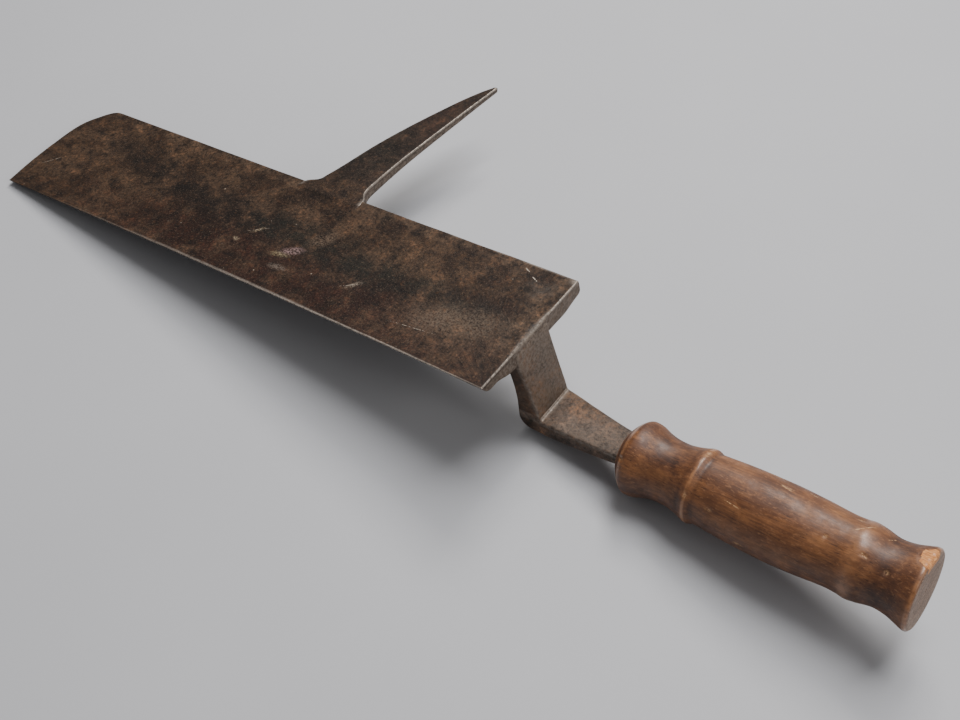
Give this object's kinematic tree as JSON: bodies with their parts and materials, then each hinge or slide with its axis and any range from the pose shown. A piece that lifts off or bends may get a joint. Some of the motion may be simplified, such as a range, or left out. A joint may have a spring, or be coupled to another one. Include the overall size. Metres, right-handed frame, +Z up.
{
  "type": "slater's zax",
  "caption": "Slate-cutting knife: long straight steel blade with a nail-hole pick on its back, a cranked neck and a turned wooden handle.",
  "frame": {"origin": "on the bench the tool lies on, under the centre of its bounding box", "axes": "+X runs along the tool from the tip end of the blade to the butt of the handle, +Y from the cutting edge towards the pick, +Z up from the bench"},
  "size_m": [0.4794, 0.17, 0.0561],
  "materials": {
    "blade_steel": "dark brown rust patina, worn bright along the edges",
    "pick_steel": "dark brown rust patina, worn bright along the edges",
    "neck_steel": "grey-brown pitted forged surface with orange rust tints",
    "handle_wood": "oiled and polished by use, reddish brown, grain along the grip"
  },
  "bodies": {
    "root": {"blade": "blade_steel", "pick": "pick_steel", "neck_and_tang": "neck_steel", "handle": "handle_wood"}
  },
  "joints": []
}
